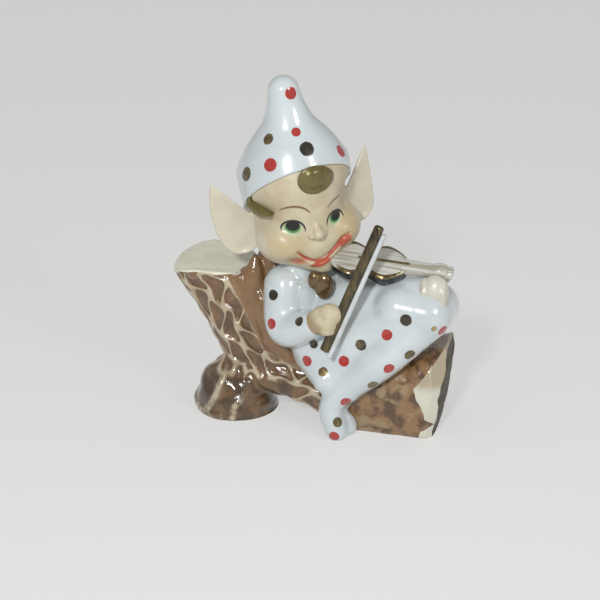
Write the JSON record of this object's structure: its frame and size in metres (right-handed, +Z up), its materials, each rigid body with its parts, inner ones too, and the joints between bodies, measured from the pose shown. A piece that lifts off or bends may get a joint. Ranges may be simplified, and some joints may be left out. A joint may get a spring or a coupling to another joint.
{
  "type": "elf figurine",
  "caption": "Glazed porcelain elf in a white polka-dot suit and pointed cap, playing the violin as it sits back on a hewn tree trunk.",
  "frame": {"origin": "on the surface it stands on, under the middle of the bounding box", "axes": "+Z up, -Y the front that the elf's feet and bow are on, -X the broken stump, +X the knees and the log's sawn end"},
  "size_m": [0.0886, 0.04, 0.1058],
  "materials": {
    "glazed_porcelain": "clear gloss glaze over white porcelain, painted in flesh, brown, black, red and gold"
  },
  "bodies": {
    "root": {"elf_figurine": "glazed_porcelain"}
  },
  "joints": []
}
